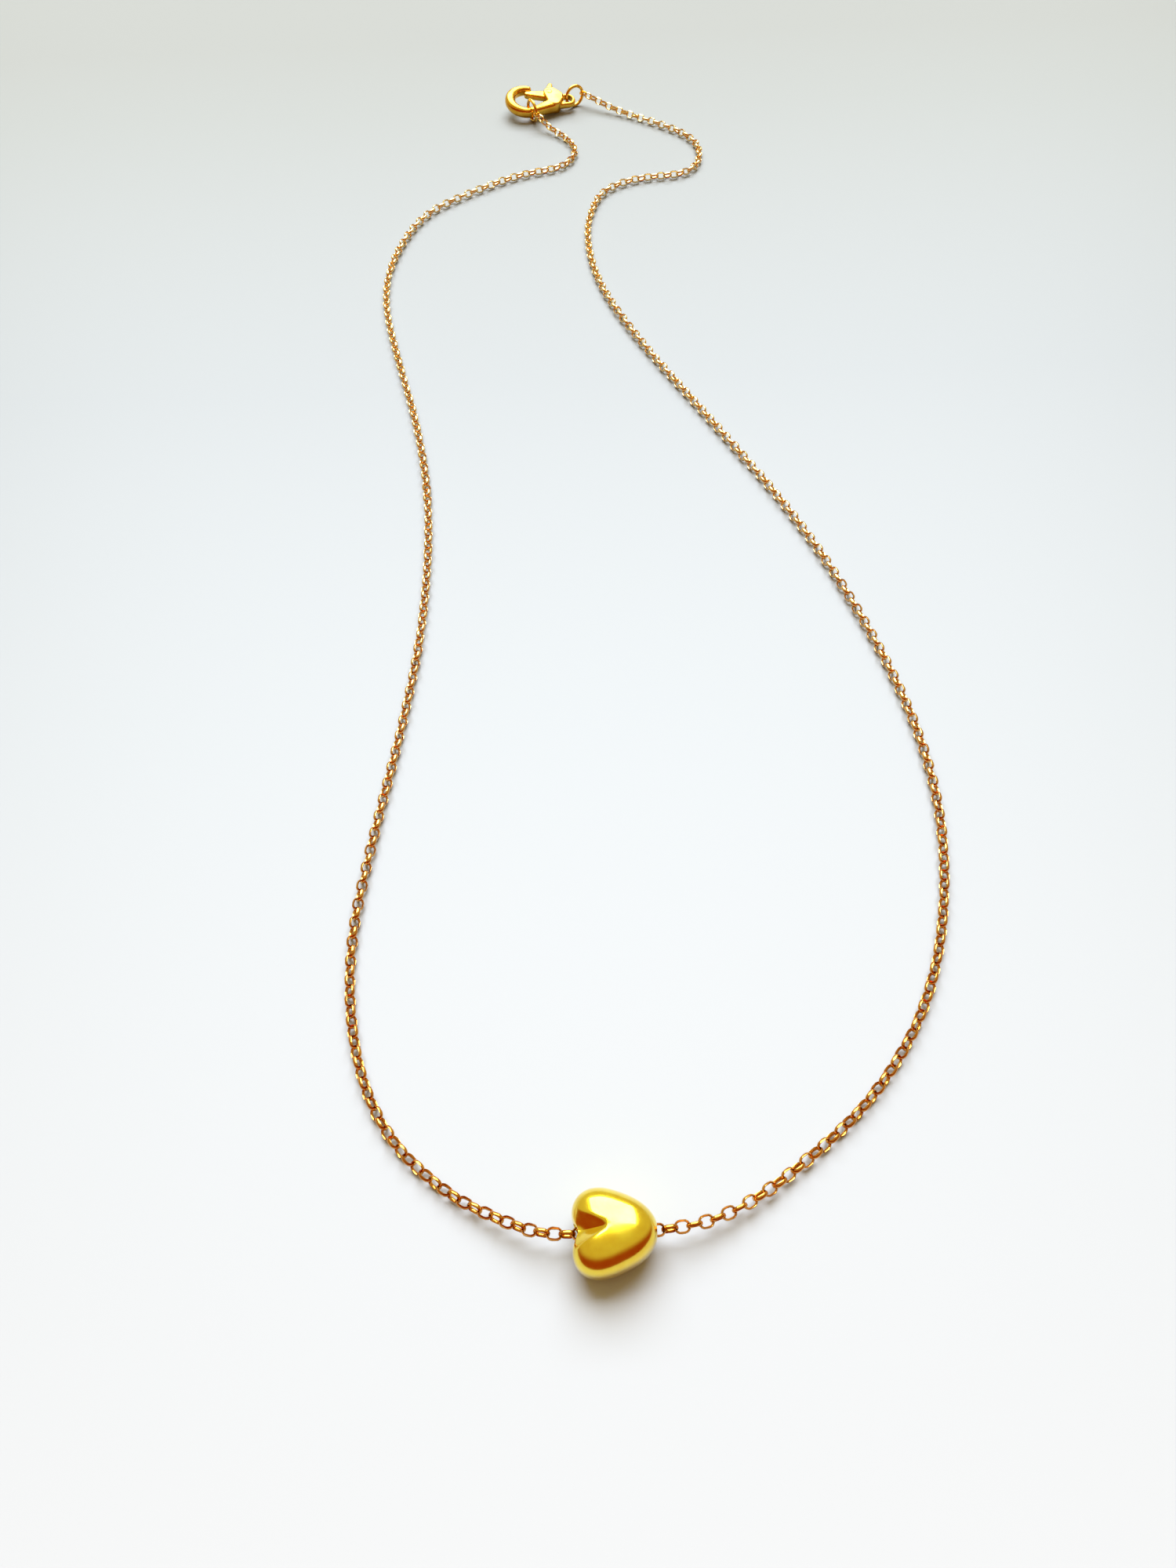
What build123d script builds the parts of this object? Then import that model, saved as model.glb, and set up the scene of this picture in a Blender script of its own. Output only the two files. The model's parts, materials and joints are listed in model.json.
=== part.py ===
from build123d import *

import os
from math import cos, radians, sin, tan

# Pendant necklace lying fastened on a table: a puffed gold heart threaded on a fine
# cable chain, closed by a lobster clasp. Millimetres. X runs along the bore of the
# heart, +Y from the heart to the clasp, +Z up, and the table is z = 0. The origin is
# on the table, midway between the heart and the clasp.

# Chain: flat-wire links, alternately lying and standing
LINK_PITCH = 1.04
LINK_LENGTH = 1.42
LINK_WIDTH = 1.15
LINK_STRIP = 0.19                 # thickness of the strip, seen on the face of a link
LINK_DEPTH = 0.38                 # height of the strip, across the link
CHAIN_DIAMETER = LINK_WIDTH

# Heart: two domed shells joined at mid height, with a lining tube for the chain
HEART_AT = (3.0, -94.2, 2.25)     # centre of the bore, which is the centre of the heart
HEART_HALF_THICKNESS = 2.25
HEART_WALL = 0.3
HEART_MID_X = 0.2                 # the point that the levels of a dome shrink towards
HEART_HALF_WIDTH = 3.54
HEART_FULLNESS = 2.7              # 2 is an ellipse, more is a flatter dome with steeper sides
HEART_LEVELS = (1.0, 0.985, 0.94, 0.85, 0.7, 0.5, 0.3, 0.16)   # reach of each level
HEART_HALF_OUTLINE = (            # from the notch, round one lobe, to the tip
    (-3.05, 0.0), (-3.25, 0.62), (-3.45, 1.55), (-2.95, 2.93), (-1.6, HEART_HALF_WIDTH),
    (1.0, 2.92), (2.87, 1.62), (3.5, 0.0),
)
BORE_RADIUS = 0.72
LINING_RADIUS = 0.87
LINING_FROM, LINING_TO = -2.9, 3.3
LINKS_IN_HEART_AT = (2.3, -94.2, 2.25)  # middle link of those in the bore
LINKS_EACH_WAY = 4                # links on each side of the middle one

# Rings: round wire, standing on the table
RING_RADIUS = 1.55                # to the middle of the wire
RING_WIRE = 0.5
RING_HEIGHT = RING_RADIUS + RING_WIRE / 2
END_LINK_STEP = 0.22              # from the middle of the ring's wire to the middle of the link

# Lobster clasp, in its own plan: u from the hook to the eye, v from the spine to the
# lever, n through its thickness
CLASP_AT = (-5.6, 88.7)           # where u = v = 0 stands
CLASP_HEADING = 16.0              # degrees from +X
CLASP_LEAN = 12.0                 # the lever side leans up, held by the twist of the chain
CLASP_THICKNESS = 2.0
CLASP_EDGE_RADIUS = 0.5
HOOK_CENTRE, HOOK_RADIUS = (3.5, 3.5), 3.5
HOOK_HOLE_CENTRE, HOOK_HOLE_RADIUS = (3.6, 3.4), 2.15
THROAT_CENTRE, THROAT_RADIUS = (6.0, 3.0), 1.25
MOUTH_FROM, MOUTH_TO = 4.4, 6.6   # the gap between the tip of the hook and the housing
EYE_CENTRE, EYE_RADIUS, EYE_HOLE_RADIUS = (10.3, 2.3), 1.4, 0.78
EYE_THICKNESS = 1.1
PIVOT = (7.6, 3.95)
RIVET_RADIUS = 0.35
PIVOT_CLEARANCE = 0.03
LEVER_THICKNESS = 1.0
SLOT_WIDTH = 1.2
SLOT_FROM, SLOT_TO, SLOT_FLOOR = 6.2, 9.25, 2.85
SPRING_POCKET_FROM, SPRING_POCKET_FLOOR = 8.5, 2.2
LEVER_BOSS_RADIUS = 0.95
LEVER_TIP, LEVER_TIP_RADIUS = (4.0, 4.85), 0.46
THUMB_ROOT, THUMB_ROOT_RADIUS = (7.45, 4.4), 0.75
THUMB_TIP, THUMB_TIP_RADIUS = (8.55, 6.35), 0.42
SPRING_WIRE = 0.22
SPRING_BEND = 0.16
SPRING_PATH = ((8.76, 4.2), (8.76, 2.42), (9.1, 2.42), (9.1, 3.6))
ROLL_BAR = (3.5, 0.62)            # middle of the spine, where the catch ring goes round it

# Where the rings stand: the catch ring's middle and the heading of its plane, and how
# far the eye ring's middle is beyond the eye, along the line that the clasp rolls about
CATCH_RING_AT, CATCH_RING_HEADING = (-2.18, 90.07), 115.6
EYE_RING_STEP = 1.45

# The two runs of chain from the heart to the clasp. Each point is (x, y, z).
RIGHT_RUN = (
    (7.2, -94.2, 2.25), (12.1, -93.1, 1.3), (18.1, -89.5, 0.6), (26.6, -82.7, 0.6),
    (33.3, -72.9, 0.6), (37.1, -59.4, 0.6), (37.8, -45.9, 0.6), (35.2, -29.9, 0.6),
    (29.2, -9.9, 0.6), (19.4, 11.4, 0.6), (11.6, 28.1, 0.6), (6.6, 42.1, 0.6),
    (5.4, 55.1, 0.6), (7.3, 64.1, 0.6), (9.9, 67.7, 0.6), (14.6, 69.9, 0.6),
    (21.2, 70.3, 0.6), (23.9, 73.0, 0.6), (24.6, 78.1, 0.6), (23.1, 82.2, 0.6),
    (19.2, 86.0, 0.6), (13.8, 89.9, 0.6), (10.4, 92.1, 1.0), (6.95, 94.68, 1.8),
)
LEFT_RUN = (
    (-2.6, -94.2, 2.25), (-6.2, -92.6, 1.3), (-11.0, -89.9, 0.6), (-16.4, -84.7, 0.6),
    (-19.7, -76.9, 0.6), (-20.9, -66.4, 0.6), (-19.6, -54.9, 0.6), (-17.1, -38.9, 0.6),
    (-15.5, -23.9, 0.6), (-15.5, -5.4, 0.6), (-17.7, 10.6, 0.6), (-21.2, 25.6, 0.6),
    (-23.8, 38.6, 0.6), (-23.5, 49.1, 0.6), (-19.7, 61.1, 0.6), (-13.4, 66.7, 0.6),
    (-4.4, 72.3, 0.6), (1.2, 73.5, 0.6), (3.8, 75.6, 0.6), (4.8, 79.4, 0.6),
    (3.1, 83.3, 0.6), (0.5, 86.0, 0.9), (-0.97, 87.9, 1.8),
)


def direction(heading):
    """Unit vector on the table, at this heading in degrees from +X."""
    return Vector(cos(radians(heading)), sin(radians(heading)), 0)


# ---- heart ----

def heart_level(reach, height, inset):
    """Face of the heart at one height: its outline, shrunk towards the middle."""
    scale = reach * (1 - inset / HEART_HALF_WIDTH)
    points = [(HEART_MID_X + scale * (x - HEART_MID_X), scale * y)
              for x, y in HEART_HALF_OUTLINE]
    lobe = Spline(points, tangents=((0, 1), (0, -1)), tangent_scalars=(1, 1))
    return Pos(0, 0, height) * make_face(Curve() + [lobe, mirror(lobe, about=Plane.XZ)])


def heart_dome(inset):
    """Upper half of the heart, or of its hollow when inset is the wall."""
    rise = HEART_HALF_THICKNESS - inset
    power = HEART_FULLNESS
    return loft([heart_level(reach, rise * (1 - reach ** power) ** (1 / power), inset)
                 for reach in HEART_LEVELS])


def bore_rod(radius, start, end):
    """Solid rod along the bore of the heart."""
    return Plane.YZ.offset(start) * extrude(Circle(radius), end - start)


def heart_front_shell():
    """Upper domed shell, pierced for the lining tube."""
    shell = heart_dome(0) - heart_dome(HEART_WALL)
    return shell - bore_rod(LINING_RADIUS, -HEART_HALF_WIDTH, HEART_HALF_WIDTH)


def heart_back_shell():
    """Lower shell, the same as the upper one turned over."""
    return mirror(heart_front_shell(), about=Plane.XY)


def heart_lining_tube():
    """Plain tube through the heart that the chain runs in."""
    return (bore_rod(LINING_RADIUS, LINING_FROM, LINING_TO)
            - bore_rod(BORE_RADIUS, LINING_FROM, LINING_TO))


# ---- chain ----

def chain_link(middle, along, standing=False):
    """One flat-wire link, long along a direction, on its face or on its edge."""
    outer = SlotOverall(LINK_LENGTH, LINK_WIDTH)
    inner = SlotOverall(LINK_LENGTH - 2 * LINK_STRIP, LINK_WIDTH - 2 * LINK_STRIP)
    link = extrude(outer - inner, LINK_DEPTH / 2, both=True)
    if standing:
        link = Rot(90, 0, 0) * link
    return Plane(origin=middle, x_dir=along, z_dir=(0, 0, 1)) * link


def links_in_heart():
    """The links in and beside the bore, each a separate solid."""
    reach = range(-LINKS_EACH_WAY, LINKS_EACH_WAY + 1)
    along = Vector(1, 0, 0)
    return Compound([chain_link(Vector(*LINKS_IN_HEART_AT) + along * (k * LINK_PITCH), along,
                                standing=k % 2 == 1) for k in reach])


def run_of_chain(name, points):
    """Plain tube of one run: straight runs joined by arcs as large as they allow."""
    spots = [Vector(*p) for p in points]
    radii = []
    for before, here, after in zip(spots, spots[1:], spots[2:]):
        half_turn = radians((here - before).get_angle(after - here)) / 2
        shorter = min((here - before).length, (after - here).length)
        radii.append(0.45 * shorter / tan(half_turn))
    path = FilletPolyline(*spots, radius=radii)
    start = Plane(origin=spots[0], z_dir=spots[1] - spots[0])
    tube = sweep(start * Circle(CHAIN_DIAMETER / 2), path=path)
    section = start * Circle(CHAIN_DIAMETER / 2)
    print(f"{name}: length {path.length:.1f} mm, volume over section times length "
          f"{tube.volume / (section.area * path.length):.4f}, least radius {min(radii):.2f} mm")
    print("  radii", " ".join(f"{r:.1f}" for r in radii))
    return tube


# ---- rings ----

def standing_ring(middle, along):
    """Ring of round wire that stands on the table, its plane along a direction."""
    upright = Plane(origin=middle, x_dir=along, z_dir=along.cross(Vector(0, 0, 1)))
    return upright * Torus(RING_RADIUS, RING_WIRE / 2)


def end_link(ring_middle, towards_link, last_point):
    """The last link of a run, threaded on the wire at one side of its ring."""
    wire = ring_middle + towards_link * RING_RADIUS
    away = (Vector(*last_point) - wire).normalized()
    return chain_link(wire + away * END_LINK_STEP, away)


# ---- clasp ----

def disc(centre, radius):
    """Circle in the clasp's plan."""
    return Pos(*centre) * Circle(radius)


def wrapped(centre_a, radius_a, centre_b, radius_b):
    """Outline that wraps two circles."""
    return make_hull((disc(centre_a, radius_a) + disc(centre_b, radius_b)).edges())


def plan_box(u_from, u_to, v_from, v_to, thickness):
    """Block over a rectangle of the plan, centred on mid thickness."""
    middle = Pos((u_from + u_to) / 2, (v_from + v_to) / 2)
    return extrude(middle * Rectangle(u_to - u_from, v_to - v_from), thickness / 2, both=True)


def clasp_body_in_plan():
    """Cast body: hook, spine, slotted housing for the lever, and a thinner eye."""
    outline = wrapped(HOOK_CENTRE, HOOK_RADIUS, EYE_CENTRE, EYE_RADIUS)
    hollow = wrapped(HOOK_HOLE_CENTRE, HOOK_HOLE_RADIUS, THROAT_CENTRE, THROAT_RADIUS)
    body = extrude(outline - hollow, CLASP_THICKNESS / 2, both=True)
    rims = body.faces().filter_by(Axis.Z).edges()
    body = fillet(rims, CLASP_EDGE_RADIUS)
    mouth = plan_box(MOUTH_FROM, MOUTH_TO, HOOK_CENTRE[1], 3 * HOOK_RADIUS, 2 * CLASP_THICKNESS)
    beyond = EYE_CENTRE[0] + 2 * EYE_RADIUS
    shoulder = plan_box(SLOT_TO + 0.1, beyond, -1, 2 * HOOK_RADIUS, CLASP_THICKNESS) \
        - plan_box(SLOT_TO, beyond, -2, 2 * HOOK_RADIUS + 1, EYE_THICKNESS)
    slot = plan_box(SLOT_FROM, SLOT_TO, SLOT_FLOOR, 2 * HOOK_RADIUS, SLOT_WIDTH)
    pocket = plan_box(SPRING_POCKET_FROM, SLOT_TO, SPRING_POCKET_FLOOR, PIVOT[1], SLOT_WIDTH)
    eye_hole = extrude(disc(EYE_CENTRE, EYE_HOLE_RADIUS), CLASP_THICKNESS, both=True)
    rivet_hole = extrude(disc(PIVOT, RIVET_RADIUS), CLASP_THICKNESS, both=True)
    return body - mouth - shoulder - slot - pocket - eye_hole - rivet_hole


def clasp_lever_in_plan():
    """Lever: an arm that closes the mouth from inside, with a thumb piece behind."""
    arm = wrapped(PIVOT, LEVER_BOSS_RADIUS, LEVER_TIP, LEVER_TIP_RADIUS)
    thumb = wrapped(THUMB_ROOT, THUMB_ROOT_RADIUS, THUMB_TIP, THUMB_TIP_RADIUS)
    lever = extrude(arm + thumb, LEVER_THICKNESS / 2, both=True)
    hole = extrude(disc(PIVOT, RIVET_RADIUS + PIVOT_CLEARANCE), LEVER_THICKNESS, both=True)
    return lever - hole


def clasp_rivet_in_plan():
    """Rivet through both cheeks of the housing, dressed flush."""
    return extrude(disc(PIVOT, RIVET_RADIUS), CLASP_THICKNESS / 2, both=True)


def clasp_spring_in_plan():
    """Hairpin of spring wire that stands in its pocket behind the lever's boss."""
    path = FilletPolyline(*[(u, v, 0) for u, v in SPRING_PATH], radius=SPRING_BEND)
    start = Plane(origin=path @ 0, z_dir=path % 0)
    return sweep(start * Circle(SPRING_WIRE / 2), path=path)


def clasp_level():
    """Plane of the clasp's plan before it leans, at mid thickness."""
    return Plane(origin=(*CLASP_AT, RING_HEIGHT), x_dir=direction(CLASP_HEADING))


def roll_axis():
    """Line through the spine and the eye that the clasp rolls about."""
    bar = clasp_level().from_local_coords(Vector(*ROLL_BAR))
    eye = clasp_level().from_local_coords(Vector(*EYE_CENTRE))
    return Axis(bar, eye - bar)


def in_clasp(piece):
    """A piece of the clasp, from its plan to where it lies."""
    return (clasp_level() * piece).rotate(roll_axis(), CLASP_LEAN)


# ---- the whole necklace ----

def all_parts():
    """Every node by name."""
    heart = Pos(*HEART_AT)
    catch_middle = Vector(*CATCH_RING_AT, RING_HEIGHT)
    catch_along = direction(CATCH_RING_HEADING)
    eye_along = roll_axis().direction
    eye_middle = clasp_level().from_local_coords(Vector(*EYE_CENTRE)) + eye_along * EYE_RING_STEP
    return {
        "heart_front_shell": heart * heart_front_shell(),
        "heart_back_shell": heart * heart_back_shell(),
        "heart_lining_tube": heart * heart_lining_tube(),
        "chain_links_in_heart": links_in_heart(),
        "chain_right_run": run_of_chain("right run", RIGHT_RUN),
        "chain_left_run": run_of_chain("left run", LEFT_RUN),
        "chain_right_end_link": end_link(eye_middle, eye_along, RIGHT_RUN[-1]),
        "chain_left_end_link": end_link(catch_middle, -catch_along, LEFT_RUN[-1]),
        "catch_ring": standing_ring(catch_middle, catch_along),
        "eye_ring": standing_ring(eye_middle, eye_along),
        "clasp_body": in_clasp(clasp_body_in_plan()),
        "clasp_lever": in_clasp(clasp_lever_in_plan()),
        "clasp_rivet": in_clasp(clasp_rivet_in_plan()),
        "clasp_spring": in_clasp(clasp_spring_in_plan()),
    }


if __name__ == "__main__":
    os.makedirs("parts", exist_ok=True)
    for name, part in all_parts().items():
        export_step(part, f"parts/{name}.step")
        print(name, f"{part.volume:.2f} mm3")
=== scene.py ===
import json
import random
from math import atan2, copysign, cos, degrees, exp, hypot, pi, radians, sin

import bmesh
import bpy
from mathutils import Matrix, Vector


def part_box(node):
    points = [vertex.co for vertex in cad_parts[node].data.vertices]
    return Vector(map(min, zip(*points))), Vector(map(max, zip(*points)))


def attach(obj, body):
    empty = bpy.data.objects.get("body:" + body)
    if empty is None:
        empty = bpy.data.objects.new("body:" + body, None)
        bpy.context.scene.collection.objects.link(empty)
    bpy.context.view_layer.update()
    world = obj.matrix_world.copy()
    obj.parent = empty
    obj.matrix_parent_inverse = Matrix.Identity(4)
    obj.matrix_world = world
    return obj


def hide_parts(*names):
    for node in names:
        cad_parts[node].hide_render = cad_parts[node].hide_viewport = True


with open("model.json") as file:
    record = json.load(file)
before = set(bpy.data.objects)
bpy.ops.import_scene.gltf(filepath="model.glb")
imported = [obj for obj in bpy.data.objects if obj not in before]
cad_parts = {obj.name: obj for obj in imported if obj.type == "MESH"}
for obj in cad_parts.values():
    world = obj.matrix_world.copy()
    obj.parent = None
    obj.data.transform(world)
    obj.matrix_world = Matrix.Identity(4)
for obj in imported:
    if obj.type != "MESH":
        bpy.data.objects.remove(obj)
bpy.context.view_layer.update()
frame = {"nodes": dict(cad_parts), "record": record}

# Pendant necklace: a puffed satin gold heart on a cable chain of flat wire, fastened by
# a cast lobster clasp. Everything is in metres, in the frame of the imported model.

MM = 0.001

# chain
LINK_LENGTH = 1.42 * MM
LINK_WIDTH = 1.15 * MM
STRIP_THICK = 0.19 * MM            # seen on the face of a link
STRIP_WIDE = 0.38 * MM             # across the link
LINK_PITCH = 1.04 * MM
LINK_STATIONS = 16
STRIP_SIDES = 6

# Roll of the links about the chain, in degrees, and the lengths that it builds up over
LEAN, LEAN_REACH = 45, 26 * MM
WANDER = ((9, 11 * MM, 0), (6, 4.7 * MM, 1))        # waves of a swing, a length and a phase
WANDER_REACH = 30 * MM
SETTLED_WITHIN, SETTLE_REACH = 1 * MM, 22 * MM      # at the clasp, where the roll ends
OWN_ROLL = 5                       # spread of what each link adds by itself
LINKS_HELD = 4                     # either side of the heart's middle
# The chain's way, from the clasp's catch ring through the heart to the clasp's eye ring
LEFT_RUN = (
    (-2.6, -94.2, 2.25), (-6.2, -92.6, 1.3), (-11.0, -89.9, 0.6), (-16.4, -84.7, 0.6),
    (-19.7, -76.9, 0.6), (-20.9, -66.4, 0.6), (-19.6, -54.9, 0.6), (-17.1, -38.9, 0.6),
    (-15.5, -23.9, 0.6), (-15.5, -5.4, 0.6), (-17.7, 10.6, 0.6), (-21.2, 25.6, 0.6),
    (-23.8, 38.6, 0.6), (-23.5, 49.1, 0.6), (-19.7, 61.1, 0.6), (-13.4, 66.7, 0.6),
    (-4.4, 72.3, 0.6), (1.2, 73.5, 0.6), (3.8, 75.6, 0.6), (4.8, 79.4, 0.6),
    (3.1, 83.3, 0.6), (0.5, 86.0, 0.9), (-0.97, 87.9, 1.8),
)
RIGHT_RUN = (
    (7.2, -94.2, 2.25), (12.1, -93.1, 1.3), (18.1, -89.5, 0.6), (26.6, -82.7, 0.6),
    (33.3, -72.9, 0.6), (37.1, -59.4, 0.6), (37.8, -45.9, 0.6), (35.2, -29.9, 0.6),
    (29.2, -9.9, 0.6), (19.4, 11.4, 0.6), (11.6, 28.1, 0.6), (6.6, 42.1, 0.6),
    (5.4, 55.1, 0.6), (7.3, 64.1, 0.6), (9.9, 67.7, 0.6), (14.6, 69.9, 0.6),
    (21.2, 70.3, 0.6), (23.9, 73.0, 0.6), (24.6, 78.1, 0.6), (23.1, 82.2, 0.6),
    (19.2, 86.0, 0.6), (13.8, 89.9, 0.6), (10.4, 92.1, 1.0), (6.95, 94.68, 1.8),
)


def middle(node):
    """Centre of a CAD node's box."""
    low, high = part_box(node)
    return (low + high) / 2


def millimetres(points):
    """Points written in millimetres, as vectors in metres."""
    return [Vector(p) * MM for p in points]


# ---- materials ----

def linear(hex_colour):
    """Linear RGBA of an sRGB hex value such as "F2C12E"."""
    channels = [int(hex_colour[i:i + 2], 16) / 255 for i in (0, 2, 4)]
    return [c / 12.92 if c <= 0.04045 else ((c + 0.055) / 1.055) ** 2.4 for c in channels] + [1]


def add(tree, kind, settings=(), links=(), **values):
    """A node with its settings, its input values, and what is linked to its inputs."""
    made = tree.nodes.new(kind)
    for name, value in dict(settings).items():
        setattr(made, name, value)
    for name, value in values.items():
        made.inputs[name.replace("_", " ")].default_value = value
    for name, source in dict(links).items():
        tree.links.new(source, made.inputs[name])
    return made


def new_material(name):
    """An empty material, its tree and its principled shader, wired to the output."""
    material = bpy.data.materials.new(name)
    material.use_nodes = True
    tree = material.node_tree
    tree.nodes.clear()
    shader = add(tree, "ShaderNodeBsdfPrincipled")
    add(tree, "ShaderNodeOutputMaterial", links={"Surface": shader.outputs["BSDF"]})
    return material, tree, shader


# Painted shade: the chain keeps its deeper, redder tones up to the first place, near the heart,
# and blends to a pale colour beyond the second
SHADED_TONE_UP_TO, PALE_TONE_FROM = -75 * MM, 35 * MM
LACQUER_ROUGHNESS = 0.08


def gold(name, light, deep, roughness, rough_spread, grain, grain_depth, blotch=2.0, lacquer=0,
         pale_far_tone=None):
    """Gold alloy: two close tones in soft clouds, and a surface grain of a real size in mm.

    The lacquer is the weight of a clear coat. The last argument is a pale colour that the tones
    blend into along Y towards the clasp, so that the deeper tones near the heart are painted
    shade.
    """
    material, tree, shader = new_material(name)
    shader.inputs["Metallic"].default_value = 1
    shader.inputs["Coat Weight"].default_value = lacquer
    shader.inputs["Coat Roughness"].default_value = LACQUER_ROUGHNESS
    place = add(tree, "ShaderNodeTexCoord").outputs["Object"]
    clouds = add(tree, "ShaderNodeTexNoise", links={"Vector": place},
                 Scale=1 / (blotch * MM), Detail=3, Roughness=0.6)
    tone = add(tree, "ShaderNodeValToRGB", links={"Fac": clouds.outputs["Fac"]})
    tone.color_ramp.elements[0].position = 0.35
    tone.color_ramp.elements[0].color = linear(deep)
    tone.color_ramp.elements[1].position = 0.65
    tone.color_ramp.elements[1].color = linear(light)
    colour = tone.outputs["Color"]
    # Painted shade: along Y the tones blend from the deeper ones near the heart to the pale
    # colour towards the clasp
    if pale_far_tone:
        parts = add(tree, "ShaderNodeSeparateXYZ", links={"Vector": place})
        back = add(tree, "ShaderNodeMapRange", links={"Value": parts.outputs["Y"]},
                   From_Min=SHADED_TONE_UP_TO, From_Max=PALE_TONE_FROM)
        # This node's sockets for colours share their names with others, so go by number
        painted_shade_mix = add(tree, "ShaderNodeMix", {"data_type": "RGBA"})
        tree.links.new(back.outputs["Result"], painted_shade_mix.inputs[0])
        tree.links.new(colour, painted_shade_mix.inputs[6])
        painted_shade_mix.inputs[7].default_value = linear(pale_far_tone)
        colour = painted_shade_mix.outputs[2]
    tree.links.new(colour, shader.inputs["Base Color"])
    rub = add(tree, "ShaderNodeMapRange", links={"Value": clouds.outputs["Fac"]},
              **{"From_Min": 0.3, "From_Max": 0.7,
                 "To_Min": roughness - rough_spread, "To_Max": roughness + rough_spread})
    tree.links.new(rub.outputs["Result"], shader.inputs["Roughness"])
    sand = add(tree, "ShaderNodeTexNoise", links={"Vector": place},
               Scale=1 / (grain * MM), Detail=2, Roughness=0.7)
    bump = add(tree, "ShaderNodeBump", links={"Height": sand.outputs["Fac"]},
               Strength=1, Distance=grain_depth * MM)
    tree.links.new(bump.outputs["Normal"], shader.inputs["Normal"])
    return material


# Yellow gold, satin finished and lacquered: soft edged reflections of a saturated yellow,
# white only where the window is mirrored in the lacquer as well
satin_gold = gold("satin_yellow_gold", "F9E03A", "F2CE22", roughness=0.2, rough_spread=0.03,
                  grain=0.09, grain_depth=0.0012, lacquer=1)
# Drawn, flattened and tumbled gold wire: bright and mirror soft. Redder and darker near the
# heart as painted shade of the dark low room that those links mirror, and paler where it lies
# behind the neck
wire_gold = gold("tumbled_gold_wire", "DFA24A", "C27E30", roughness=0.1, rough_spread=0.04,
                 grain=0.12, grain_depth=0.0010, blotch=1.2, pale_far_tone="F5D490")
# Drawn gold wire, polished in the barrel: sharp bright reflections
ring_gold = gold("polished_gold_wire", "F6C44E", "EDB43E", roughness=0.1, rough_spread=0.03,
                 grain=0.3, grain_depth=0.0008)
# Cast and hand finished gold: soft highlights that break up a little on its fine grain
cast_gold = gold("cast_gold", "EDBE48", "DDA22F", roughness=0.24, rough_spread=0.06,
                 grain=0.16, grain_depth=0.004, blotch=1.6)

DIE_LINE = 0.06 * MM


def spring_steel():
    """Drawn spring steel wire: bluish grey, fine lines left by the die."""
    material, tree, shader = new_material("drawn_spring_steel")
    shader.inputs["Metallic"].default_value = 1
    shader.inputs["Base Color"].default_value = linear("C4C8CC")
    place = add(tree, "ShaderNodeTexCoord").outputs["Object"]
    lines = add(tree, "ShaderNodeTexNoise", links={"Vector": place},
                Scale=1 / DIE_LINE, Detail=2)
    rub = add(tree, "ShaderNodeMapRange", links={"Value": lines.outputs["Fac"]},
              **{"To_Min": 0.22, "To_Max": 0.38})
    tree.links.new(rub.outputs["Result"], shader.inputs["Roughness"])
    return material


drawn_steel = spring_steel()


# ---- making a piece ----

def to_mesh(name, bm):
    """A new mesh that takes over what a bmesh holds."""
    mesh = bpy.data.meshes.new(name)
    bm.to_mesh(mesh)
    bm.free()
    return mesh


def to_bmesh(mesh):
    """A new bmesh that takes over what a mesh holds."""
    bm = bmesh.new()
    bm.from_mesh(mesh)
    bpy.data.meshes.remove(mesh)
    return bm


def show(name, data):
    """A new object of some data, in the scene."""
    made = bpy.data.objects.new(name, data)
    bpy.context.scene.collection.objects.link(made)
    return made


def run_modifier(bm, kind, **settings):
    """The bmesh after one modifier."""
    mesh = to_mesh("blank", bm)
    blank = show("blank", mesh)
    modifier = blank.modifiers.new("work", kind)
    for name, value in settings.items():
        setattr(modifier, name, value)
    worked = bpy.data.meshes.new_from_object(
        blank.evaluated_get(bpy.context.evaluated_depsgraph_get()))
    bpy.data.objects.remove(blank)
    bpy.data.meshes.remove(mesh)
    return to_bmesh(worked)


def cut_away(bm, tools):
    """The bmesh with other closed bmeshes cut away."""
    for tool in tools:
        tool_mesh = to_mesh("tool", tool)
        cutter = show("tool", tool_mesh)
        bm = run_modifier(bm, "BOOLEAN", object=cutter, operation="DIFFERENCE", solver="EXACT")
        bpy.data.objects.remove(cutter)
        bpy.data.meshes.remove(tool_mesh)
    return bm


def mirrored(half_section):
    """A closed section from its half on the +X side."""
    return half_section + [(-x, radius) for x, radius in reversed(half_section)]


def turned(section, sides):
    """Solid of revolution about X of a closed section of (x, radius) points."""
    bm = bmesh.new()
    spots = [bm.verts.new((x, 0, radius)) for x, radius in section]
    edges = [bm.edges.new((a, b)) for a, b in zip(spots, spots[1:] + spots[:1])
             if a.co.z > 0 or b.co.z > 0]
    bmesh.ops.spin(bm, geom=edges + spots, cent=(0, 0, 0), axis=(1, 0, 0), angle=2 * pi,
                   steps=sides, use_merge=True)
    bmesh.ops.remove_doubles(bm, verts=bm.verts, dist=1e-7)
    return bm


def piece(name, bm, material, body, replaces=(), sharp=35):
    """The finished object of a bmesh: outward faces, smooth but for its sharp edges."""
    bmesh.ops.recalc_face_normals(bm, faces=bm.faces)
    for face in bm.faces:
        face.smooth = True
    for edge in bm.edges:
        edge.smooth = edge.calc_face_angle(0) < radians(sharp)
    made = show(name, to_mesh(name, bm))
    made.data.materials.append(material)
    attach(made, body)
    if replaces:
        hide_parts(*replaces)
    return made


# ---- camera ----

CAMERA_AT = Vector((2.3575, -127.052, 107.4)) * MM
CAMERA_TILT = radians(36.5)        # from looking straight down
CAMERA_ROLL = radians(-2.4)
CAMERA_LENS, CAMERA_SENSOR = 29.7, 36


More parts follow.
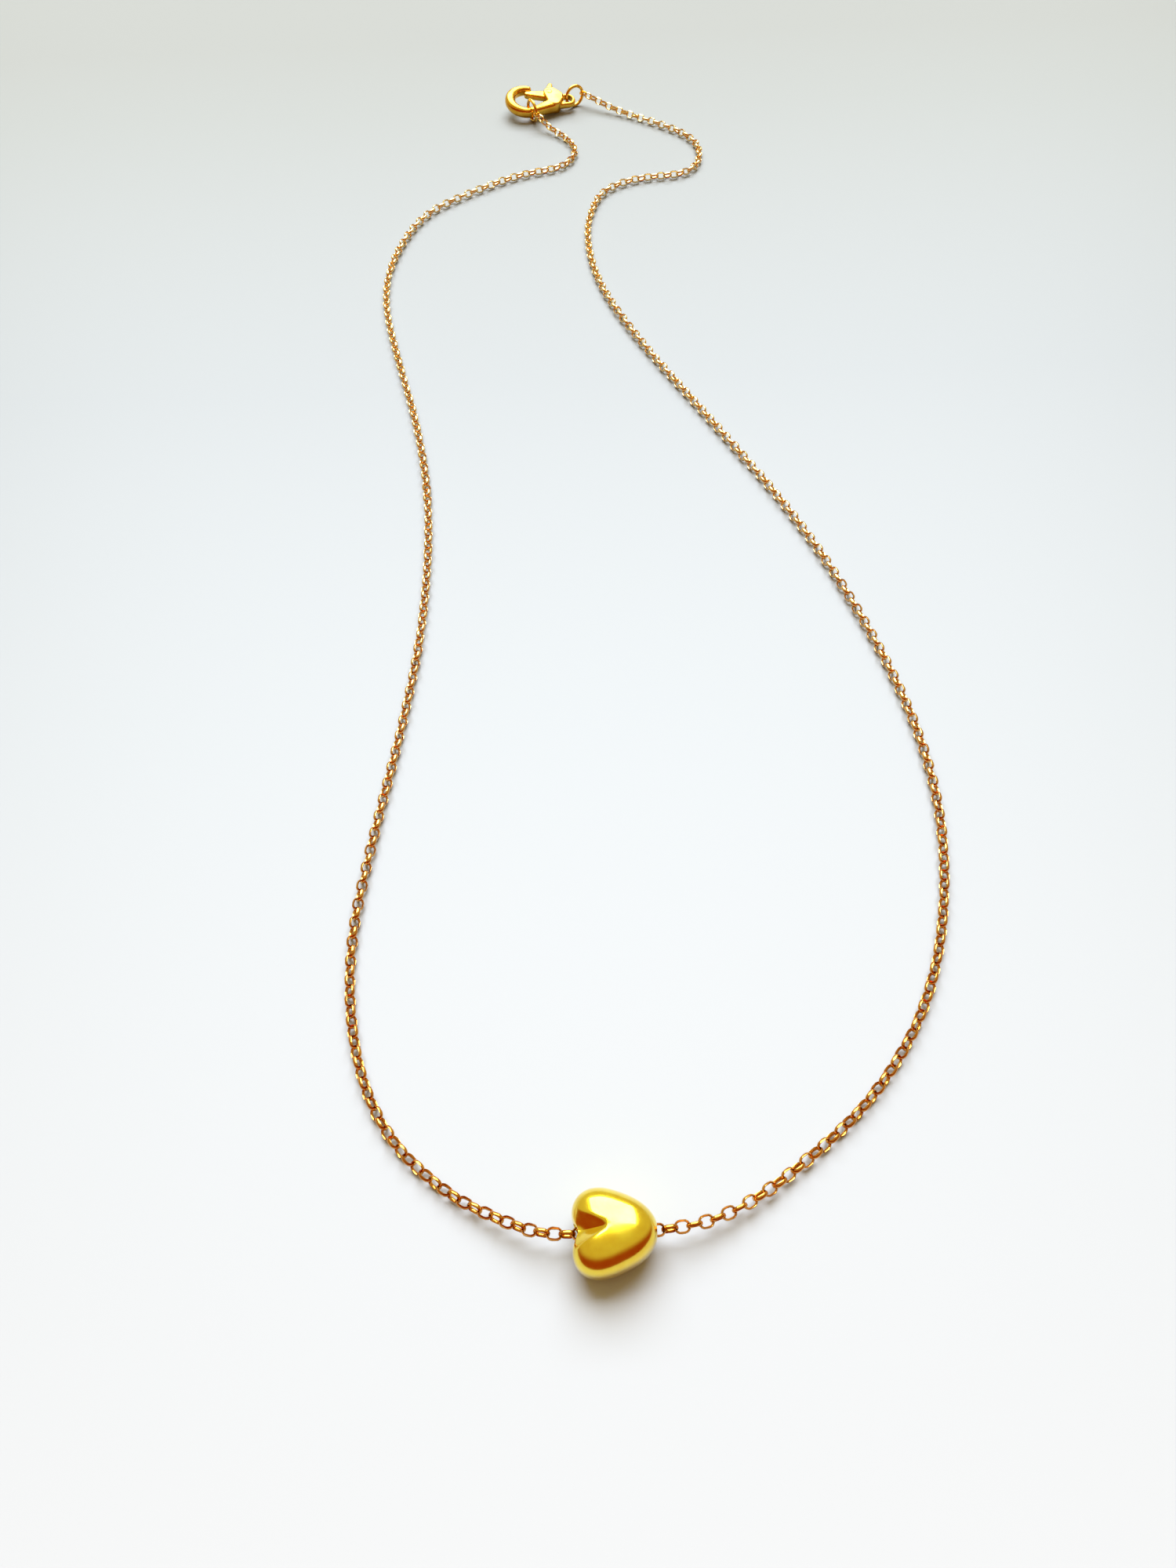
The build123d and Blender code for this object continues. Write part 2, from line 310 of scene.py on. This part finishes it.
def camera():
    """Camera looking down at the necklace from beyond the heart."""
    data = bpy.data.cameras.new("camera")
    data.lens = CAMERA_LENS
    data.sensor_width = CAMERA_SENSOR
    data.clip_start = 1 * MM
    data.clip_end = 50
    made = show("camera", data)
    made.matrix_world = (Matrix.Translation(CAMERA_AT) @ Matrix.Rotation(CAMERA_TILT, 4, "X")
                         @ Matrix.Rotation(CAMERA_ROLL, 4, "Z"))
    bpy.context.scene.camera = made


camera()


# ---- chain ----

def smooth_line(points):
    """Close spaced points on the smooth line that a route's points steer."""
    curve = bpy.data.curves.new("route", "CURVE")
    curve.dimensions = "3D"
    curve.resolution_u = 32
    spline = curve.splines.new("NURBS")
    spline.points.add(len(points) - 1)
    for spot, p in zip(spline.points, points):
        spot.co = (*p, 1)
    spline.order_u = 3
    spline.use_endpoint_u = True
    holder = bpy.data.objects.new("route", curve)
    mesh = bpy.data.meshes.new_from_object(holder)
    line = [v.co.copy() for v in mesh.vertices]
    bpy.data.objects.remove(holder)
    bpy.data.meshes.remove(mesh)
    return line


class Way:
    """A line that can be asked for the point at any distance along it."""

    def __init__(self, line):
        self.line = line
        self.reach = [0.0]
        for a, b in zip(line, line[1:]):
            self.reach.append(self.reach[-1] + (b - a).length)
        self.length = self.reach[-1]

    def at(self, distance):
        """Point at a distance along the line, or at its nearer end."""
        distance = min(max(distance, 0), self.length)
        low, high = 0, len(self.reach) - 1
        while high - low > 1:
            half = (low + high) // 2
            low, high = (half, high) if self.reach[half] <= distance else (low, half)
        share = (distance - self.reach[low]) / (self.reach[high] - self.reach[low])
        return self.line[low].lerp(self.line[high], share)

    def nearest(self, spot):
        """Distance along the line of its point nearest to a spot."""
        best = min(range(len(self.line)), key=lambda i: (self.line[i] - spot).length)
        return self.reach[best]


def cable_link():
    """One link in the XY plane, long along X: flat wire bent to an oval."""
    bm = bmesh.new()
    wire = bmesh.ops.create_circle(bm, segments=STRIP_SIDES, radius=0.5, cap_ends=False,
                                   matrix=Matrix.Rotation(pi / 2, 4, "X"))
    thick = STRIP_THICK / cos(pi / STRIP_SIDES)
    bmesh.ops.scale(bm, vec=(thick, 1, STRIP_WIDE), verts=wire["verts"])
    bend = (LINK_WIDTH - STRIP_THICK) / 2
    bmesh.ops.translate(bm, vec=(bend, 0, 0), verts=wire["verts"])
    bmesh.ops.spin(bm, geom=bm.edges[:], cent=(0, 0, 0), axis=(0, 0, 1), angle=2 * pi,
                   steps=LINK_STATIONS, use_merge=True)
    bmesh.ops.remove_doubles(bm, verts=bm.verts, dist=0.001 * MM)
    straight = (LINK_LENGTH - LINK_WIDTH) / 2
    for v in bm.verts:
        v.co.x += copysign(straight, v.co.x)
    bmesh.ops.recalc_face_normals(bm, faces=bm.faces)
    return to_mesh("cable_link", bm)


def ease(share):
    """0 to 1 with soft ends."""
    share = min(max(share, 0), 1)
    return share * share * (3 - 2 * share)


def chain_roll(from_heart, to_clasp, last_is_standing):
    """How far the links at one place are rolled about the chain, in degrees."""
    lean = LEAN * ease(from_heart / LEAN_REACH)
    wander = sum(swing * sin(from_heart / length + phase) for swing, length, phase in WANDER)
    loose = lean + wander * ease(from_heart / WANDER_REACH)
    end = 90 if last_is_standing else 0
    return end + (loose - end) * ease((to_clasp - SETTLED_WITHIN) / SETTLE_REACH)


def chain():
    """The whole cable chain, link by link, threaded through the heart."""
    heart = middle("chain_links_in_heart")
    route = ([middle("chain_left_end_link")] + millimetres(reversed(LEFT_RUN)) + [heart]
             + millimetres(RIGHT_RUN) + [middle("chain_right_end_link")])
    line = smooth_line(route)
    way = Way(line)
    at_heart = way.nearest(heart)
    link = cable_link()
    bm = bmesh.new()
    jitter = random.Random(7)
    for side, reach in ((-1, at_heart), (1, way.length - at_heart)):
        count = round(reach / LINK_PITCH)
        pitch = reach / count
        for k in range(0 if side > 0 else 1, count + 1):
            here = at_heart + side * k * pitch
            before, after = way.at(here - pitch / 2), way.at(here + pitch / 2)
            along = (after - before).normalized()
            across = Vector((0, 0, 1)).cross(along).normalized()
            up = along.cross(across)
            spin = 90 * (k % 2) + side * chain_roll(k * pitch, reach - k * pitch, count % 2)
            if LINKS_HELD < k < count:
                spin += jitter.gauss(0, OWN_ROLL)
            place = Matrix((along, across, up)).transposed().to_4x4()
            place.translation = way.at(here)
            place = place @ Matrix.Rotation(radians(spin), 4, "X")
            copy = link.copy()
            copy.transform(place)
            bm.from_mesh(copy)
            bpy.data.meshes.remove(copy)
    bpy.data.meshes.remove(link)
    made = piece("cable_chain", bm, wire_gold, "chain",
                 ("chain_links_in_heart", "chain_right_run", "chain_left_run",
                  "chain_right_end_link", "chain_left_end_link"), sharp=75)


chain()


# ---- heart ----

HEART_HALF_THICK = 2.25 * MM
HEART_FULLNESS = 2.5
HEART_CUTS = 63
NOTCH_DEPTH, NOTCH_SPREAD = 0.411, 14              # mm and degrees
SEAM_EDGE = 0.015 * MM             # bevel of each shell where the two meet
BORE_RADIUS = 0.72 * MM
BORE_SIDES = 64
LINING_WALL = 0.09 * MM
LINING_REACH = 3.02 * MM
LINING_LIP = 0.03 * MM
VALLEY_FLOOR = 0.87 * MM           # height of the crease, just clear of the lining
VALLEY_HALF_WIDTH = 1.6 * MM
VALLEY_START, VALLEY_END = -0.8 * MM, -3.25 * MM
VALLEY_START_WIDTH = 0.2           # of its width at the notch
VALLEY_SLOPE, VALLEY_FLANK = 0.8, 1.1              # 1 for a straight floor or side


def heart_reach(angle):
    """Distance from the middle to the outline, at an angle from the tip in radians."""
    lobes = (3.508 - 0.537 * cos(angle) + 0.115 * cos(2 * angle) + 0.302 * cos(3 * angle)
             - 0.143 * cos(4 * angle) + 0.054 * cos(5 * angle))
    notch = NOTCH_DEPTH * exp(-((180 - abs(degrees(angle))) / NOTCH_SPREAD) ** 2)
    return (lobes - notch) * MM


def heart_valley(x, y, height):
    """Height of the dome after the creased valley that runs in from the notch."""
    inwards = min(1, max(0, (VALLEY_START - x) / (VALLEY_START - VALLEY_END)))
    width = VALLEY_START_WIDTH + (1 - VALLEY_START_WIDTH) * inwards
    side = max(0, 1 - abs(y) / (VALLEY_HALF_WIDTH * width))
    depth = inwards ** VALLEY_SLOPE * side ** VALLEY_FLANK
    return height - max(0, height - VALLEY_FLOOR) * depth


def heart_ball():
    """The whole puffed heart, solid, about its middle."""
    bm = bmesh.new()
    bmesh.ops.create_cube(bm, size=2)
    bmesh.ops.subdivide_edges(bm, edges=bm.edges[:], cuts=HEART_CUTS, use_grid_fill=True)
    power = 2 / HEART_FULLNESS
    for v in bm.verts:
        # sine over cosine spreads the cube's grid evenly over the ball
        ball = Vector([sin(c * pi / 4) / cos(c * pi / 4) for c in v.co]).normalized()
        flat = hypot(ball.x, ball.y)
        angle = atan2(ball.y, ball.x)
        reach = heart_reach(angle) * flat ** power
        x, y = reach * cos(angle), reach * sin(angle)
        height = abs(ball.z) ** power * HEART_HALF_THICK
        v.co = (x, y, copysign(heart_valley(x, y, height), ball.z))
    return bm


def heart():
    """Two domed shells, pierced along the bore, met at a fine seam."""
    centre = middle("heart_lining_tube")
    hole = BORE_RADIUS + LINING_WALL
    drill = bmesh.new()
    bmesh.ops.create_cone(drill, cap_ends=True, segments=BORE_SIDES, radius1=hole, radius2=hole,
                          depth=12 * MM, matrix=Matrix.Rotation(pi / 2, 4, "Y"))
    bored = to_mesh("bored_heart", cut_away(heart_ball(), [drill]))
    for name, node, up in (("heart_front", "heart_front_shell", 1),
                           ("heart_back", "heart_back_shell", -1)):
        bm = bmesh.new()
        bm.from_mesh(bored)
        bmesh.ops.remove_doubles(bm, verts=bm.verts, dist=0.0005 * MM)
        split = bmesh.ops.bisect_plane(bm, geom=bm.verts[:] + bm.edges[:] + bm.faces[:],
                                       plane_co=(0, 0, 0), plane_no=(0, 0, -up),
                                       clear_outer=True)
        rim = [e for e in split["geom_cut"] if isinstance(e, bmesh.types.BMEdge)]
        bmesh.ops.holes_fill(bm, edges=rim)
        rim = [e for e in rim if e.is_valid and not e.is_boundary]
        bmesh.ops.bevel(bm, geom=rim, offset=SEAM_EDGE, offset_type="OFFSET", segments=2,
                        profile=0.5, affect="EDGES", material=-1)
        bmesh.ops.translate(bm, vec=centre, verts=bm.verts)
        piece(name, bm, satin_gold, "heart", (node,), sharp=40)
    bpy.data.meshes.remove(bored)


def heart_lining():
    """The tube through the heart, a hair thinner than its hole, with rounded lips."""
    outer = BORE_RADIUS + 0.95 * LINING_WALL
    half_section = [(LINING_REACH - LINING_LIP, outer), (LINING_REACH, outer - LINING_LIP),
                    (LINING_REACH, BORE_RADIUS + LINING_LIP),
                    (LINING_REACH - LINING_LIP, BORE_RADIUS)]
    lining = turned(mirrored(half_section), BORE_SIDES)
    bmesh.ops.translate(lining, vec=middle("heart_lining_tube"), verts=lining.verts)
    piece("heart_lining", lining, satin_gold, "heart", ("heart_lining_tube",),
          sharp=60)


heart()
heart_lining()


# ---- rings ----

RING_RADIUS = 1.55 * MM
RING_WIRE_RADIUS = 0.25 * MM
RING_WIRE_SIDES, RING_STEPS = 20, 80
SAW_CUT = 0.035 * MM


def joint(name):
    """Position and axis of a joint of the record."""
    found = next(j for j in frame["record"]["behaviour"]["joints"] if j["name"] == name)
    return Vector(found["pos_m"]), Vector(found["axis"]).normalized()


def jump_ring(name, swing, cut_at):
    """Round wire bent to a standing ring, its sawn ends met at an angle in degrees."""
    spot, along = joint(swing)
    up = Vector((0, 0, 1))
    bm = bmesh.new()
    wire = bmesh.ops.create_circle(bm, segments=RING_WIRE_SIDES, radius=RING_WIRE_RADIUS,
                                   cap_ends=True, matrix=Matrix.Rotation(pi / 2, 4, "X"))
    bmesh.ops.translate(bm, vec=(RING_RADIUS, 0, 0), verts=wire["verts"])
    bmesh.ops.spin(bm, geom=bm.faces[:], cent=(0, 0, 0), axis=(0, 0, 1),
                   angle=2 * pi - SAW_CUT / RING_RADIUS, steps=RING_STEPS)
    place = Matrix((along, up, along.cross(up))).transposed().to_4x4()
    place.translation = spot
    bmesh.ops.transform(bm, matrix=place @ Matrix.Rotation(radians(cut_at), 4, "Z"),
                        verts=bm.verts)
    piece(name + "_wire", bm, ring_gold, name, (name,), sharp=50)


jump_ring("catch_ring", "catch_ring_swing", cut_at=150)
jump_ring("eye_ring", "eye_ring_swing", cut_at=62)


# ---- clasp ----

# The clasp in its own plan, in millimetres: u from the hook to the eye, v from the spine
# to the lever, n through its thickness. A disc is (u, v, radius).
PIVOT = (7.6, 3.95)
ROLL_BAR, EYE_CENTRE = (3.5, 0.62), (10.3, 2.3)
HOOK_CENTRE, HOOK_RADIUS = (3.5, 3.5), 3.5
HOOK_ROOT_ANGLE, HOOK_TIP_ANGLE = 270, 67
HOOK_STEPS = 22
HOOK_BAR = 0.63                    # half width at the root
HOOK_SWELL = 0.23                  # more half way round
HOOK_TAPER = 0.11                  # less at the tip
HOOK_CURL = 0.32                   # how far the tip comes in
SPINE = ((3.5, 0.63, 0.63), (5.0, 0.87, 0.68), (6.3, 1.27, 0.86), (7.9, 1.7, 1.02))
HOUSING = ((7.85, 3.95, 1.22), (7.95, 1.9, 1.15), (8.35, 2.9, 1.45))
HOUSING_HALF = 0.99
EYE_PLATE = ((9.0, 2.2, 1.25), (*EYE_CENTRE, 1.38))
EYE_HALF = 0.5
EYE_HOLE_RADIUS = 0.88
LEVER_SLOT = (6.0, 9.25, 2.85, 7)
SPRING_POCKET = (8.5, 9.25, 2.2, 3.5)
SLOT_HALF = 0.6
ARM = ((*PIVOT, 0.95), (4.1, 4.93, 0.48))
THUMB = ((7.5, 4.4, 0.72), (8.5, 6.3, 0.4))
LEVER_HALF, LEVER_EDGE = 0.5, 0.3
RIVET_RADIUS, RIVET_PLAY, RIVET_SIDES = 0.35, 0.03, 36
# From the shank to the middle of the domed head, as (n, radius)
RIVET_HEAD = [(0.95, 0.34), (0.95, 0.5), (1.0, 0.5), (1.05, 0.42), (1.08, 0.25), (1.09, 0.0)]
THROUGH = 2                        # half length of a drill that passes through the clasp
BODY_GRAIN, LEVER_GRAIN = 0.065, 0.05
TUMBLINGS = 3
PLATE_SIDES = 40
ROD_SIDES = 48


def clasp_plan():
    """Matrix from the clasp's plan, in millimetres, to where the clasp lies."""
    pivot, n = joint("lever_open")
    roll = joint("clasp_roll")[1]
    heading = atan2(EYE_CENTRE[1] - ROLL_BAR[1], EYE_CENTRE[0] - ROLL_BAR[0])
    u = Matrix.Rotation(-heading, 3, n) @ roll
    place = Matrix((u, n.cross(u), n)).transposed().to_4x4()
    place.translation = pivot
    return place @ Matrix.Scale(MM, 4) @ Matrix.Translation((-PIVOT[0], -PIVOT[1], 0))


def rounded_plate(discs, half, edge):
    """Convex plate round some discs of the plan, its rim rounded by an edge radius."""
    bm = bmesh.new()
    for u, v, radius in discs:
        for turn in range(0, 91, 15):
            inset = edge * (1 - cos(radians(turn)))
            height = half - edge * (1 - sin(radians(turn)))
            for k in range(PLATE_SIDES):
                angle = 2 * pi * k / PLATE_SIDES
                for side in (1, -1):
                    bm.verts.new((u + (radius - inset) * cos(angle),
                                  v + (radius - inset) * sin(angle), side * height))
    made = bmesh.ops.convex_hull(bm, input=bm.verts)
    spare = [g for g in made["geom_interior"] + made["geom_unused"]
             if isinstance(g, bmesh.types.BMVert)]
    bmesh.ops.delete(bm, geom=list(set(spare)), context="VERTS")
    return bm


def box_in_plan(u_from, u_to, v_from, v_to, half):
    """Block over a rectangle of the plan."""
    bm = bmesh.new()
    bmesh.ops.create_cube(bm, size=1)
    bmesh.ops.scale(bm, vec=(u_to - u_from, v_to - v_from, 2 * half), verts=bm.verts)
    bmesh.ops.translate(bm, vec=((u_from + u_to) / 2, (v_from + v_to) / 2, 0), verts=bm.verts)
    return bm


def drill_in_plan(centre, radius):
    """Round rod that passes through the clasp."""
    bm = bmesh.new()
    bmesh.ops.create_cone(bm, cap_ends=True, segments=ROD_SIDES, radius1=radius,
                          radius2=radius, depth=2 * THROUGH,
                          matrix=Matrix.Translation((*centre, 0)))
    return bm


def cast(shells, cuts, grain):
    """One casting out of overlapping shells, cut, then tumbled until its edges are soft."""
    whole = bmesh.new()
    for shell in shells:
        part = to_mesh("shell", shell)
        whole.from_mesh(part)
        bpy.data.meshes.remove(part)
    solid = run_modifier(whole, "REMESH", mode="VOXEL", voxel_size=grain)
    cut = cut_away(solid, cuts)
    bm = run_modifier(cut, "REMESH", mode="VOXEL", voxel_size=grain)
    for _ in range(TUMBLINGS):
        bmesh.ops.smooth_vert(bm, verts=bm.verts, factor=0.5, use_axis_x=True,
                              use_axis_y=True, use_axis_z=True)
    return bm


def hook_line():
    """Discs along the hook, from its root on the spine round to its tip."""
    discs = []
    for k in range(HOOK_STEPS + 1):
        share = k / HOOK_STEPS
        angle = radians(HOOK_ROOT_ANGLE - (HOOK_ROOT_ANGLE - HOOK_TIP_ANGLE) * share)
        width = (HOOK_BAR + HOOK_SWELL * sin(pi * share) ** 1.5
                 - HOOK_TAPER * ease((share - 0.5) / 0.5))
        reach = HOOK_RADIUS - width - HOOK_CURL * ease((share - 0.6) / 0.4)
        discs.append((HOOK_CENTRE[0] + reach * cos(angle), HOOK_CENTRE[1] + reach * sin(angle),
                      width))
    return discs


def clasp_piece(name, bm, body, node, sharp=180):
    """A finished piece of the clasp, brought from its plan to its place."""
    bmesh.ops.transform(bm, matrix=clasp_plan(), verts=bm.verts)
    piece(name, bm, cast_gold, body, (node,), sharp=sharp)


def clasp_body():
    """Cast hook, spine, housing and eye in one, with the lever's slot.

    The hook and the spine are thicker where they are wider.
    """
    hook = hook_line()
    shells = [rounded_plate(pair, 0.62 + 0.3 * pair[1][2], 0.98 * pair[1][2])
              for pair in zip(hook, hook[1:])]
    shells += [rounded_plate(pair, 0.82 + 0.1 * pair[1][2], 0.6)
               for pair in zip(SPINE, SPINE[1:])]
    shells.append(rounded_plate(HOUSING, HOUSING_HALF, 0.34))
    shells.append(rounded_plate(EYE_PLATE, EYE_HALF, 0.36))
    cuts = [box_in_plan(*LEVER_SLOT, SLOT_HALF), box_in_plan(*SPRING_POCKET, SLOT_HALF),
            drill_in_plan(EYE_CENTRE, EYE_HOLE_RADIUS), drill_in_plan(PIVOT, RIVET_RADIUS)]
    clasp_piece("clasp_casting", cast(shells, cuts, BODY_GRAIN), "clasp", "clasp_body")


def clasp_lever():
    """Cast arm that closes the hook, and its thumb piece."""
    shells = [rounded_plate(discs, LEVER_HALF, LEVER_EDGE) for discs in (ARM, THUMB)]
    cuts = [drill_in_plan(PIVOT, RIVET_RADIUS + RIVET_PLAY)]
    clasp_piece("clasp_tongue", cast(shells, cuts, LEVER_GRAIN), "lever", "clasp_lever")


def clasp_rivet():
    """Rivet through the housing and the lever, domed at both ends."""
    rivet = turned(mirrored(RIVET_HEAD), RIVET_SIDES)
    upright = Matrix.Translation((*PIVOT, 0)) @ Matrix.Rotation(pi / 2, 4, "Y")
    bmesh.ops.transform(rivet, matrix=upright, verts=rivet.verts)
    clasp_piece("clasp_rivet_pin", rivet, "clasp", "clasp_rivet", sharp=50)


clasp_body()
clasp_lever()
clasp_rivet()


# ---- CAD pieces that stay ----

for node in frame["nodes"].values():
    if not node.hide_render:
        node.data.materials.clear()
        node.data.materials.append(drawn_steel)


# ---- table and light ----

BACKDROP = "E4E7E9"
TABLE_NEAR, TABLE_FAR = -0.13, 0.12
# Painted shade: the paper's colour darkens from the near side towards the clasp
SHADE_RAMP_NEAR, SHADE_RAMP_FAR = "BFC1C4", "8A8C87"
SHADE_RAMP_STEPS = ((0.36, "A9ADAF"), (0.6, "999D9E"), (0.9, "8D908C"))
FADE_FROM, FADE_TO = 0.2, 0.7


def table():
    """A plain pale table top with painted shade, greyer towards the clasp, that fades into the
    backdrop.
    """
    bm = bmesh.new()
    bmesh.ops.create_grid(bm, x_segments=1, y_segments=1, size=4)
    made = show("table", to_mesh("table", bm))
    material, tree, shader = new_material("pale_paper")
    place = add(tree, "ShaderNodeTexCoord").outputs["Object"]
    parts = add(tree, "ShaderNodeSeparateXYZ", links={"Vector": place})
    depth = add(tree, "ShaderNodeMapRange", links={"Value": parts.outputs["Y"]},
                From_Min=TABLE_NEAR, From_Max=TABLE_FAR)
    # Painted shade: a ramp of the paper's colour along Y, darker towards the clasp
    tone = add(tree, "ShaderNodeValToRGB", links={"Fac": depth.outputs["Result"]})
    tone.color_ramp.elements[0].color = linear(SHADE_RAMP_NEAR)
    tone.color_ramp.elements[1].color = linear(SHADE_RAMP_FAR)
    for position, colour in SHADE_RAMP_STEPS:
        tone.color_ramp.elements.new(position).color = linear(colour)
    tree.links.new(tone.outputs["Color"], shader.inputs["Base Color"])
    shader.inputs["Roughness"].default_value = 0.45
    shader.inputs["Specular IOR Level"].default_value = 0.3
    reach = add(tree, "ShaderNodeVectorMath", {"operation": "LENGTH"}, {"Vector": place})
    fade = add(tree, "ShaderNodeMapRange", {"interpolation_type": "SMOOTHSTEP"},
               {"Value": reach.outputs["Value"]}, From_Min=FADE_FROM, From_Max=FADE_TO)
    haze = add(tree, "ShaderNodeEmission", Color=linear(BACKDROP), Strength=1.0)
    mixed = add(tree, "ShaderNodeMixShader", links={"Fac": fade.outputs["Result"]})
    tree.links.new(shader.outputs["BSDF"], mixed.inputs[1])
    tree.links.new(haze.outputs["Emission"], mixed.inputs[2])
    tree.links.new(mixed.outputs["Shader"], tree.nodes["Material Output"].inputs["Surface"])
    made.data.materials.append(material)


def lamp(name, spot, aim, size, power, colour):
    """A soft lamp of a width and height at a spot, aimed at a point."""
    data = bpy.data.lights.new(name, "AREA")
    data.shape = "RECTANGLE"
    data.size, data.size_y = size
    data.energy = power
    data.color = linear(colour)[:3]
    made = show(name, data)
    made.location = spot
    made.rotation_mode = "QUATERNION"
    made.rotation_quaternion = (Vector(aim) - Vector(spot)).to_track_quat("-Z", "Y")


ROOM_LEAN = 0.8                    # how much being beyond counts against being above
ROOM_LIGHT = 0.72


def room():
    """Warm light: pale yellow from above and beyond, red brown from low down and near by."""
    world = bpy.data.worlds.new("room")
    bpy.context.scene.world = world
    world.use_nodes = True
    tree = world.node_tree
    tree.nodes.clear()
    way = add(tree, "ShaderNodeTexCoord").outputs["Generated"]
    parts = add(tree, "ShaderNodeSeparateXYZ", links={"Vector": way})
    height = add(tree, "ShaderNodeMath", {"operation": "MULTIPLY_ADD"})
    tree.links.new(parts.outputs["Y"], height.inputs[0])
    height.inputs[1].default_value = ROOM_LEAN
    tree.links.new(parts.outputs["Z"], height.inputs[2])
    open_sky = add(tree, "ShaderNodeMapRange", {"interpolation_type": "SMOOTHSTEP"},
                   {"Value": height.outputs["Value"]}, From_Min=0.05, From_Max=0.55)
    tint = add(tree, "ShaderNodeValToRGB", links={"Fac": open_sky.outputs["Result"]})
    tint.color_ramp.elements[0].color = linear("B4481F")
    tint.color_ramp.elements[1].color = linear("F6E4A2")
    seen = add(tree, "ShaderNodeLightPath").outputs["Is Camera Ray"]
    light = add(tree, "ShaderNodeBackground", links={"Color": tint.outputs["Color"]},
                Strength=ROOM_LIGHT)
    backdrop = add(tree, "ShaderNodeBackground", Color=linear(BACKDROP), Strength=1.0)
    mixed = add(tree, "ShaderNodeMixShader", links={"Fac": seen})
    tree.links.new(light.outputs["Background"], mixed.inputs[1])
    tree.links.new(backdrop.outputs["Background"], mixed.inputs[2])
    add(tree, "ShaderNodeOutputWorld", links={"Surface": mixed.outputs["Shader"]})


table()
room()
lamp("window", spot=(0.0, 0.87, 1.15), aim=(0, -0.09, 0), size=(1.5, 1.25), power=58,
     colour="E8F1FF")
bpy.context.scene.view_settings.view_transform = "Standard"
